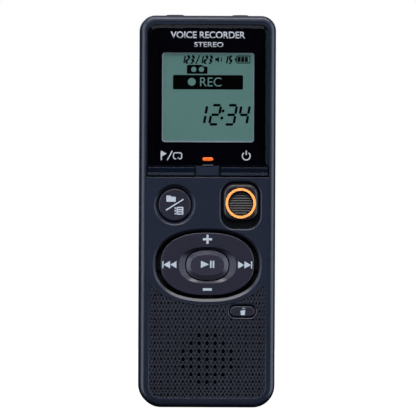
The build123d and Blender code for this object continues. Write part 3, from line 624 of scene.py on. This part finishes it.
def menu_legend():
    """A folder, a slash, and a page of lines."""
    x, z = -9.1, 55.75
    folder = [
        (x - 2.25, z + 0.9), (x + 0.2, z + 0.9), (x + 0.3, z + 1.0), (x + 0.3, z + 2.2),
        (x + 0.2, z + 2.3), (x - 0.95, z + 2.3), (x - 1.2, z + 2.6), (x - 2.2, z + 2.6),
        (x - 2.3, z + 2.5), (x - 2.3, z + 1.0),
    ]
    slash = bar_points(x - 2.45, z - 1.45, x + 2.45, z + 1.6, 0.36)
    shapes = [folder, slash]
    shapes.append(rounded_box(x + 0.5, x + 2.4, z - 2.65, z - 0.5, 0.08, 2))
    for i in range(3):
        low = z - 2.32 + 0.6 * i
        shapes.append(rounded_box(x + 0.8, x + 2.1, low, low + 0.27, 0.03, 2))
    for i in range(3):
        low = z - 2.6 + 0.75 * i
        shapes.append(rounded_box(x, x + 0.3, low, low + 0.5, 0.03, 2))
    return shapes


def erase_legend():
    """A bin with a tipped lid."""
    x, z = 9.75, 26.45
    body = [(x - 0.6, z + 0.3), (x + 0.75, z + 0.45), (x + 0.6, z - 0.95), (x - 0.45, z - 0.95)]
    lid = bar_points(x - 0.85, z + 0.45, x + 0.65, z + 0.95, 0.3)
    handle = bar_points(x - 0.05, z + 0.75, x + 0.35, z + 1.1, 0.2)
    return [body, lid, handle]


def slash_marks():
    """A flag and a slash, over the left bar."""
    x, z = -12.3, 69.4
    shapes = [rounded_box(x - 0.7, x - 0.4, z - 1.3, z + 1.3, 0.05, 2)]
    shapes.append([(x - 0.38, z + 1.25), (x + 0.95, z + 0.5), (x - 0.38, z - 0.3)])
    shapes.append(bar_points(-11.2, z - 1.3, -9.8, z + 1.3, 0.3))
    return shapes


def arc_band(x, z, radius, width, start, end, steps=20):
    """A stroke along a circle's arc, in degrees."""
    outer, inner = [], []
    for i in range(steps + 1):
        a = radians(start + (end - start) * i / steps)
        outer.append((x + (radius + width / 2) * cos(a), z + (radius + width / 2) * sin(a)))
        inner.append((x + (radius - width / 2) * cos(a), z + (radius - width / 2) * sin(a)))
    return outer + inner[::-1]


def ribbon(points, width):
    """The outline of an even stroke along an open path."""
    left, right = [], []
    for i, (x, z) in enumerate(points):
        before = Vector(points[max(i - 1, 0)])
        after = Vector(points[min(i + 1, len(points) - 1)])
        along = (after - before).normalized() * width / 2
        left.append((x - along.y, z + along.x))
        right.append((x + along.y, z - along.x))
    return left + right[::-1]


def round_marks():
    """The repeat loop with its arrow after the slash, and the power sign over the right bar."""
    x, z = 10.6, 69.35
    shapes = [arc_band(x, z, 1.08, 0.32, 128, 412)]
    shapes.append(rounded_box(x - 0.16, x + 0.16, z + 0.25, z + 1.5, 0.05, 2))
    low, high = z - 0.85, z + 0.8
    loop = rounded_box(-9.45, -7.2, low, high, 0.45, 5)
    way = [(-8.75, low)] + loop[12:18][::-1] + loop[6:12][::-1] + loop[:6][::-1] + loop[18:][::-1]
    shapes.append(ribbon(way + [(-7.95, low)], 0.3))
    shapes.append([(-8.55, low), (-7.97, low + 0.55), (-7.97, low + 0.17)])
    return shapes


def text_mesh(words, x, z, high, wide, front, back, weight=0.0):
    """Lettering centred on x, with its foot at z, that high and wide; weight makes it bolder."""
    data = bpy.data.curves.new("words", "FONT")
    data.body = words
    data.align_x = "CENTER"
    data.offset = weight
    mesh = mesh_of(data)
    xs = [v.co.x for v in mesh.vertices]
    ys = [v.co.y for v in mesh.vertices]
    grow_x = wide / (max(xs) - min(xs))
    grow_y = high / (max(ys) - min(ys))
    middle = (max(xs) + min(xs)) / 2
    for v in mesh.vertices:
        v.co = (x + (v.co.x - middle) * grow_x, z + (v.co.y - min(ys)) * grow_y, 0)
    solid = bmesh.new()
    solid.from_mesh(mesh)
    bmesh.ops.remove_doubles(solid, verts=solid.verts, dist=0.001)
    grown = bmesh.ops.extrude_face_region(solid, geom=solid.faces[:])
    lifted = [g for g in grown["geom"] if isinstance(g, bmesh.types.BMVert)]
    bmesh.ops.translate(solid, vec=(0, 0, back - front), verts=lifted)
    bmesh.ops.recalc_face_normals(solid, faces=solid.faces[:])
    solid.to_mesh(mesh)
    solid.free()
    mesh.transform(Matrix.Translation((0, 0, -(back - front) / 2)))
    return stand_up(mesh, front, back)


def add_legends(materials):
    """The keys' signs, printed across their surface, and the marks behind the window."""
    signs = (
        ("pad_legends", pad_legends(), "dpad", 0.10),
        ("play_legend", play_legend(), "play_key", 0.25),
        ("menu_legend", menu_legend(), "menu_key", 0.0),
        ("erase_legend", erase_legend(), "erase_key", 0.05),
    )
    for name, outlines, body, depth in signs:
        mesh = slab(outlines, depth - PRINT, depth + PRINT)
        add_piece(name, mesh, body, materials["print"])
    white = materials["window_print"]
    layer = (UNDER_GLASS - PRINT, UNDER_GLASS)
    add_piece("window_marks", slab(slash_marks() + round_marks(), *layer), ROOT, white)
    words = text_mesh("VOICE RECORDER", -0.1, 101.7, 1.95, 20.6, *layer, weight=0.022)
    add_piece("window_title", words, ROOT, white)
    words = text_mesh("STEREO", 0.15, 99.35, 1.35, 8.0, *layer, weight=0.012)
    add_piece("window_subtitle", words, ROOT, white)


# ------------------------------------------------------------------ display picture
# The bars that make each figure: a across the top, b and c down the right, d across the foot,
# e and f up the left, g across the middle, and t a single tall stroke for a small one.
SEGMENTS = {"1": "bc", "2": "abged", "3": "abgcd", "4": "fgbc", "5": "afgcd", "l": "t"}
# Depths behind the front face: the dark picture, what shows clear in it, and the view's edge.
PICTURE = (1.90, 1.94)
CLEAR = (PICTURE[0] - 0.03, PICTURE[0])
VIEW_EDGE = (1.16, 1.3)
LEAN = 0.17


def digit(character, x, z, wide, high, stroke, gap):
    """One leaning seven-bar figure, from its lower left corner."""
    half = stroke / 2
    cut = stroke * 0.3
    middle = high / 2

    def leaning(points):
        return [(x + px + pz * LEAN, z + pz) for px, pz in points]

    def across(level):
        left, right = half + stroke * 0.1, wide - half - stroke * 0.1
        return leaning([
            (left, level), (left + cut, level + half), (right - cut, level + half),
            (right, level), (right - cut, level - half), (left + cut, level - half),
        ])

    def down(side, low, top):
        start, end = low + gap, top - gap
        return leaning([
            (side, start), (side - half, start + cut), (side - half, end - cut),
            (side, end), (side + half, end - cut), (side + half, start + cut),
        ])

    shapes = {
        "a": across(high - half), "g": across(middle), "d": across(half),
        "f": down(half, middle, high - half), "b": down(wide - half, middle, high - half),
        "e": down(half, half, middle), "c": down(wide - half, half, middle),
        "t": down(wide - half, half * 0.5, high - half * 0.5),
    }
    return [shapes[s] for s in SEGMENTS[character]]


def number(words, x, z, wide, high, stroke, pitch, gap):
    """Figures and slashes in a row, each a pitch after the last."""
    shapes = []
    for character in words:
        if character == "/":
            foot, head = x + 0.42 * pitch, x + 0.92 * pitch + high * LEAN
            shapes.append(bar_points(foot, z, head, z + high, stroke * 0.8))
        else:
            shapes += digit(character, x, z, wide, high, stroke, gap)
        x += pitch
    return shapes


def display_figures():
    """The small figures in the top row, and the large ones with their colon."""
    shapes = number("l23/l23", -7.65, 94.7, 1.16, 2.4, 0.41, 1.25, 0.02)
    shapes += number("l5", 4.15, 94.7, 1.14, 2.4, 0.41, 1.25, 0.02)
    for figure, x in (("1", -3.8), ("2", 0.0), ("3", 4.4), ("4", 7.95)):
        shapes += digit(figure, x, 77.7, 3.0, 6.0, 0.70, 0.24)
    for rise in (2.05, 4.0):
        shapes.append(disc(3.5 + rise * LEAN, 77.75 + rise, 0.43, 16))
    return shapes


def display_marks():
    """The loudspeaker, the cell gauge, the scene tab and the record bar."""
    shapes = []
    x, z = 2.8, 95.95
    shapes.append([
        (x - 0.85, z + 0.35), (x - 0.35, z + 0.35), (x + 0.2, z + 0.9), (x + 0.2, z - 0.9),
        (x - 0.35, z - 0.35), (x - 0.85, z - 0.35),
    ])
    shapes.append(arc_band(x + 0.1, z, 0.8, 0.26, -45, 45, 8))
    shapes.append(rounded_box(7.76, 11.65, 94.88, 97.05, 0.3, 3))
    shapes.append(rounded_box(7.99, 11.42, 95.13, 96.8, 0.15, 3))
    shapes.append(rounded_box(7.4, 7.72, 95.5, 96.45, 0.1, 2))
    for i in range(3):
        left = 8.12 + 1.0 * i
        shapes.append(rounded_box(left, left + 0.84, 95.3, 96.66, 0.04, 2))
    tab = [
        (-5.75, 91.97), (-0.3, 91.97), (-0.15, 92.12), (-0.15, 93.8), (-0.3, 93.95), (-1.3, 94.05),
        (-1.75, 94.45), (-5.4, 94.45), (-5.85, 94.2), (-5.85, 92.07),
    ]
    shapes.append(tab)
    shapes.append(rounded_box(-9.68, 9.68, 87.68, 91.65, 0.35, 4))
    return shapes


def display_clear():
    """What is left clear in the dark tab and bar: two discs and a dot."""
    return [disc(-3.95, 93.2, 0.72, 24), disc(-1.85, 93.2, 0.72, 24), disc(-4.5, 89.75, 1.08, 32)]


def add_display(materials):
    dark = materials["segment"]
    light = materials["segment_clear"]
    add_piece("display_figures", slab(display_figures(), *PICTURE), ROOT, dark)
    add_piece("display_marks", slab(display_marks(), *PICTURE), ROOT, dark)
    add_piece("display_clear", slab(display_clear(), *CLEAR), ROOT, light)
    words = text_mesh("REC", 0.75, 88.5, 2.5, 5.9, *CLEAR)
    add_piece("display_word", words, ROOT, light)
    border = [rounded_box(-12.75, 12.75, 73.05, 97.85, 0.8), rounded_box(-12.45, 12.55, 73.45, 97.6, 0.7)]
    add_piece("display_border", slab(border, *VIEW_EDGE), ROOT, materials["view_edge"])


# ------------------------------------------------------------------ record lamp
LAMP_HALF_WIDTH = 1.4


def lamp_strip(section):
    """A strip as wide as the lamp, from its corners in depth and height."""
    solid = bmesh.new()
    left, right = (
        [solid.verts.new((x * MM, depth_y(depth), z * MM)) for depth, z in section]
        for x in (-LAMP_HALF_WIDTH, LAMP_HALF_WIDTH)
    )
    solid.faces.new(left)
    solid.faces.new(right)
    for i in range(len(section)):
        solid.faces.new((left[i], left[i - 1], right[i - 1], right[i]))
    bmesh.ops.recalc_face_normals(solid, faces=solid.faces[:])
    mesh = bpy.data.meshes.new("lamp_strip")
    solid.to_mesh(mesh)
    solid.free()
    return mesh


def add_lamp_step(materials):
    """The small sloping step moulded under the record lamp, and a black strip of painted shade on the
    chamfer above it.
    """
    step = lamp_strip([(-0.02, 66.63), (0.11, 66.93), (0.30, 66.93), (0.30, 66.63)])
    add_piece("lamp_step", step, ROOT, materials["case_plastic"])
    # a black strip of painted shade: the dark line above the step
    chamfer = lamp_strip([(0.27, 66.97), (0.46, 67.25), (0.51, 67.25), (0.32, 66.97)])
    add_piece("lamp_chamfer_painted_shade", chamfer, ROOT, materials["black_print"])


# ------------------------------------------------------------------ grille
# The textured zone: its outline, the spacing of its mesh, and what it leaves free.
GRILLE_STEP = 0.11
GRILLE_HALF = 16.1
GRILLE_LOW = 2.5
GRILLE_TOP = 34.6
GRILLE_CORNER = 3.0
PAD_Z = 39.2
PAD_ARC = (17.9, 11.0)
ERASE_AT = (9.7, 26.5)
ERASE_HALF = (3.4, 1.44)
ERASE_RIM = 0.75
# The sound holes, by row up or down from the loudspeaker's middle: how many on each side.
SPEAKER_Z = 13.2
HOLE_ROWS = {-3: 1, -2: 2, -1: 3, 0: 3, 1: 3, 2: 2, 3: 1}
HOLE_RADIUS = 0.42
# The lattice: its pitch is widest at the middle, and narrows as a sine does.
COLUMN_REACH, COLUMN_TURN = 22.6, 0.099
ROW_REACH, ROW_TURN = 15.3, 0.14
ROW_PITCH = 2.2
# The surface: the ridges' depth, how far the valleys lie below them and how wide they slope,
# and each pit's depth, radius and width of slope.
RIDGE_DEPTH = 0.04
VALLEY_DROP, VALLEY_SLOPE = 0.34, 0.36
PIT_DEPTH, PIT_RADIUS, PIT_SLOPE = 0.56, 0.42, 0.22
SMALL_PIT_DEPTH, SMALL_PIT_RADIUS, SMALL_PIT_SLOPE = 0.45, 0.26, 0.18
# The depth and width of the lip round a sound hole, and of the zone's rim.
LIP_DEPTH, LIP_WIDTH = 0.45, 0.12
RIM_DEPTH, RIM_WIDTH = 0.16, 0.45
GRILLE_BACK = 0.66
# A point is kept, or drawn onto an edge, within these parts of a mesh step from it.
KEEP_WITHIN = 0.3
DRAW_WITHIN = 0.7
SLIGHT = 0.01  # the step that a slope is measured over


def lattice_x(i):
    """The columns draw together towards the sides."""
    return COLUMN_REACH * sin(COLUMN_TURN * i)


def lattice_z(j):
    """The rows are even upwards, and draw together towards the foot."""
    return SPEAKER_Z + (ROW_PITCH * j if j > 0 else ROW_REACH * sin(ROW_TURN * j))


def nearest_index(value, rule, guess):
    """The continuous lattice index whose place is value, by Newton's steps."""
    index = guess
    for _ in range(4):
        slope = (rule(index + SLIGHT) - rule(index - SLIGHT)) / (2 * SLIGHT)
        index -= (rule(index) - value) / slope
    return index


def distance(x0, z0, x1, z1):
    return sqrt((x1 - x0) ** 2 + (z1 - z0) ** 2)


def hole_places():
    return [(lattice_x(i), lattice_z(j)) for j, reach in HOLE_ROWS.items() for i in range(-reach, reach + 1)]


def grille_inside(x, z):
    """How far inside the textured zone a point is, in millimetres."""
    side = GRILLE_HALF - abs(x)
    bottom = z - GRILLE_LOW
    inside = min(side, bottom)
    if side < GRILLE_CORNER and bottom < GRILLE_CORNER:
        inside = GRILLE_CORNER - distance(side, bottom, GRILLE_CORNER, GRILLE_CORNER)
    level = sqrt((x / PAD_ARC[0]) ** 2 + ((z - PAD_Z) / PAD_ARC[1]) ** 2)
    inside = min(inside, (level - 1) * PAD_ARC[1])
    dx = max(abs(x - ERASE_AT[0]) - (ERASE_HALF[0] - ERASE_HALF[1]), 0)
    key = distance(0, ERASE_AT[1], dx, z) - ERASE_HALF[1]
    return min(inside, key - ERASE_RIM)


def smooth_step(value):
    value = min(max(value, 0), 1)
    return value * value * (3 - 2 * value)


def grille_depth(x, z, u, v):
    """Depth of the moulded surface: thin crossing ridges with a pit in every diamond."""
    across = abs((2 * u + v) % 1 - 0.5)
    along = abs((2 * u - v) % 1 - 0.5)
    depth = RIDGE_DEPTH + VALLEY_DROP * smooth_step(min(across, along) / VALLEY_SLOPE)
    row_z = lattice_z(round(v))
    from_pit = distance(x, z, lattice_x(round(u)), row_z)
    from_small = distance(x, z, lattice_x(round(u - 0.5) + 0.5), row_z)
    depth = max(depth, PIT_DEPTH * smooth_step((PIT_RADIUS - from_pit) / PIT_SLOPE))
    return max(depth, SMALL_PIT_DEPTH * smooth_step((SMALL_PIT_RADIUS - from_small) / SMALL_PIT_SLOPE))


def drawn_to_edge(x, z, inside, hole, from_hole):
    """The point, moved onto a hole's edge or the zone's outline if it is close to it."""
    if from_hole < HOLE_RADIUS + GRILLE_STEP * DRAW_WITHIN:
        return (
            hole[0] + (x - hole[0]) * HOLE_RADIUS / from_hole,
            hole[1] + (z - hole[1]) * HOLE_RADIUS / from_hole,
        )
    if inside < GRILLE_STEP * DRAW_WITHIN:
        slope_x = (grille_inside(x + SLIGHT, z) - inside) / SLIGHT
        slope_z = (grille_inside(x, z + SLIGHT) - inside) / SLIGHT
        return x - slope_x * inside, z - slope_z * inside
    return x, z


def grille_grid():
    """Points kept inside the zone and outside the sound holes, keyed by row and column."""
    holes = hole_places()
    columns = int(2 * GRILLE_HALF / GRILLE_STEP) + 2
    rows = int((GRILLE_TOP - GRILLE_LOW) / GRILLE_STEP) + 2
    us = [nearest_index(-GRILLE_HALF + c * GRILLE_STEP, lattice_x, 0) for c in range(columns)]
    grid = {}
    for row in range(rows):
        z = GRILLE_LOW + row * GRILLE_STEP
        v = nearest_index(z, lattice_z, (z - SPEAKER_Z) / ROW_PITCH)
        for column in range(columns):
            x = -GRILLE_HALF + column * GRILLE_STEP
            inside = grille_inside(x, z)
            if inside < -GRILLE_STEP * KEEP_WITHIN:
                continue
            hole = min(holes, key=lambda place: abs(place[0] - x) + abs(place[1] - z))
            from_hole = distance(*hole, x, z)
            if from_hole < HOLE_RADIUS - GRILLE_STEP * KEEP_WITHIN:
                continue
            in_lip = from_hole <= HOLE_RADIUS + LIP_WIDTH
            depth = LIP_DEPTH if in_lip else grille_depth(x, z, us[column], v)
            fade = smooth_step(inside / RIM_WIDTH)
            depth = RIM_DEPTH * (1 - fade) + depth * fade
            place_x, place_z = drawn_to_edge(x, z, inside, hole, from_hole)
            grid[row, column] = (place_x, depth, place_z)
    return grid


def add_grille(materials):
    """The moulded diamond field, closed by walls round its rims and a flat back."""
    solid = bmesh.new()
    grid = {key: solid.verts.new((x * MM, depth_y(d), z * MM)) for key, (x, d, z) in grille_grid().items()}
    for row, column in list(grid):
        corners = [(row, column), (row, column + 1), (row + 1, column + 1), (row + 1, column)]
        if all(c in grid for c in corners):
            solid.faces.new([grid[c] for c in corners])
    loose = [v for v in solid.verts if not v.link_faces]
    bmesh.ops.delete(solid, geom=loose, context="VERTS")
    rims = [e for e in solid.edges if e.is_boundary]
    grown = bmesh.ops.extrude_edge_only(solid, edges=rims)["geom"]
    for vert in [g for g in grown if isinstance(g, bmesh.types.BMVert)]:
        vert.co.y = depth_y(GRILLE_BACK)
    edges = [g for g in grown if isinstance(g, bmesh.types.BMEdge) and g.is_boundary]
    bmesh.ops.triangle_fill(solid, use_beauty=True, edges=edges)
    bmesh.ops.recalc_face_normals(solid, faces=solid.faces[:])
    mesh = bpy.data.meshes.new("grille_field")
    solid.to_mesh(mesh)
    solid.free()
    for face in mesh.polygons:
        face.use_smooth = abs(face.normal.y) > 0.3
    add_piece("grille_field", mesh, ROOT, materials["grille"])


BEAD_RADIUS = 0.14
BEAD_DEPTHS = (0.02, 0.20)
CORNER_STEPS = 8
ARCH_STEPS = 60


def border_points():
    """The zone's outer outline, from the lower left corner round to the right."""
    points = []
    low = GRILLE_LOW + GRILLE_CORNER
    for side, start in ((-1, 180), (1, 270)):
        middle = side * (GRILLE_HALF - GRILLE_CORNER)
        for i in range(CORNER_STEPS + 1):
            a = radians(start + 90 * i / CORNER_STEPS)
            points.append((middle + GRILLE_CORNER * cos(a), low + GRILLE_CORNER * sin(a)))
    for i in range(ARCH_STEPS + 1):
        x = GRILLE_HALF - 2 * GRILLE_HALF * i / ARCH_STEPS
        points.append((x, PAD_Z - PAD_ARC[1] * sqrt(1 - (x / PAD_ARC[0]) ** 2)))
    return points


def add_border(materials):
    """A fine raised bead along the zone's outline."""
    curve = closed_curve([border_points()], "3D")
    curve.bevel_depth = BEAD_RADIUS
    curve.bevel_resolution = 2
    mesh = mesh_of(curve)
    for face in mesh.polygons:
        face.use_smooth = True
    stand_up(mesh, *BEAD_DEPTHS)
    add_piece("grille_border", mesh, ROOT, materials["case_plastic"])


# ------------------------------------------------------------------ everything
make_camera()
make_world()
make_lights()
MATERIALS = make_materials()
make_floor()
dress_nodes(MATERIALS)
add_legends(MATERIALS)
add_display(MATERIALS)
add_lamp_step(MATERIALS)
add_grille(MATERIALS)
add_border(MATERIALS)
